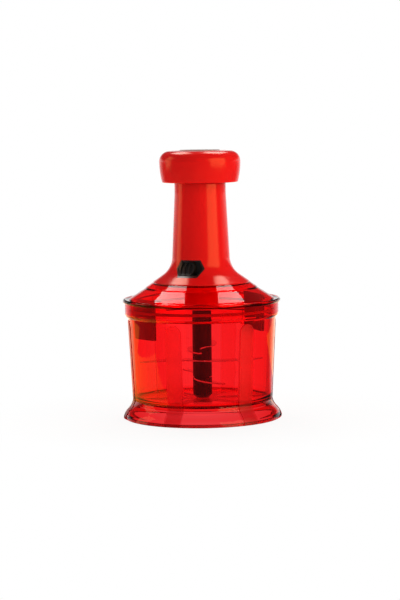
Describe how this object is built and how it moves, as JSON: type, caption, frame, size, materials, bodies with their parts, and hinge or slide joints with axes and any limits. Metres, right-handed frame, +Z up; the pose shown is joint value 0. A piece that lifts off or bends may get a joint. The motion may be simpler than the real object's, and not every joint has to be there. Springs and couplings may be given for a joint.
{
  "type": "hand press food chopper",
  "caption": "Hand press food chopper: clear bowl on a flared foot, conical lid with a slim neck, and a press knob that spins S-shaped blades.",
  "frame": {"origin": "centre of the base, on the surface that the chopper stands on", "axes": "+Z up along the press axis, -Y to the front, +X to the right seen from the front"},
  "size_m": [0.14, 0.139, 0.2354],
  "materials": {
    "red_clear": "clear tinted, polished",
    "red_gloss": "opaque, polished",
    "black_plastic": "satin",
    "white_plastic": "satin",
    "steel": "ground and polished",
    "spring_steel": "drawn wire",
    "bronze": "sintered",
    "red_silicone": "soft matt",
    "grey_disc": "bare satin",
    "dark_red": "opaque, satin"
  },
  "bodies": {
    "bowl": {"bowl": "red_clear", "foot_ring": "red_clear", "non_slip_ring": "red_silicone", "pivot_pin": "steel"},
    "lid": {"lid": "red_clear", "lid_tabs": "dark_red", "lid_seal": "red_silicone", "neck_housing": "red_gloss", "guide_bush": "white_plastic", "bearing_plate": "red_gloss", "plate_screws": "steel", "spindle_bearing": "bronze", "drive_cover": "black_plastic", "cover_screws": "steel", "lock_bezel": "black_plastic", "return_spring": "spring_steel"},
    "plunger": {"knob": "red_gloss", "knob_disc": "grey_disc", "knob_screw": "steel", "plunger_tube": "red_gloss", "drive_nut": "white_plastic"},
    "spindle": {"drive_spindle": "steel", "thrust_washer": "steel", "clutch_driver": "white_plastic", "spindle_clip": "steel"},
    "drive": {"drive_coupling": "white_plastic", "clutch_spring": "spring_steel"},
    "blade": {"blade_shaft": "black_plastic", "blade_clamp_upper": "black_plastic", "upper_blade": "steel", "blade_clamp_lower": "black_plastic", "middle_blade": "steel", "blade_spacer": "black_plastic", "lower_blade": "steel", "shaft_end_cap": "black_plastic"},
    "lock": {"lock_slider": "black_plastic", "lock_tongue": "steel"}
  },
  "joints": [
    {"name": "lid_lift", "type": "slide", "parent": "bowl", "child": "lid", "axis": [0, 0, 1], "range_m": [0, 0.12]},
    {"name": "plunger_slide", "type": "slide", "parent": "lid", "child": "plunger", "axis": [0, 0, 1], "range_m": [0, 0.05], "deforming": ["return_spring"]},
    {"name": "spindle_turn", "type": "hinge", "parent": "lid", "child": "spindle", "pos_m": [0, 0, 0.12], "axis": [0, 0, 1], "range_deg": [-451, 1]},
    {"name": "blade_spin", "type": "hinge", "parent": "bowl", "child": "blade", "pos_m": [0, 0, 0.03], "axis": [0, 0, 1], "continuous": true},
    {"name": "drive_spin", "type": "hinge", "parent": "lid", "child": "drive", "pos_m": [0, 0, 0.1], "axis": [0, 0, 1], "continuous": true},
    {"name": "lock_slide", "type": "slide", "parent": "lid", "child": "lock", "axis": [0.9272, -0.3746, 0], "range_m": [0, 0.0058]}
  ],
  "couplings": [
    {"joint": "spindle_turn", "follows": "plunger_slide", "rad_per_m": -157.08},
    {"joint": "drive_spin", "follows": "blade_spin", "ratio": 1}
  ]
}
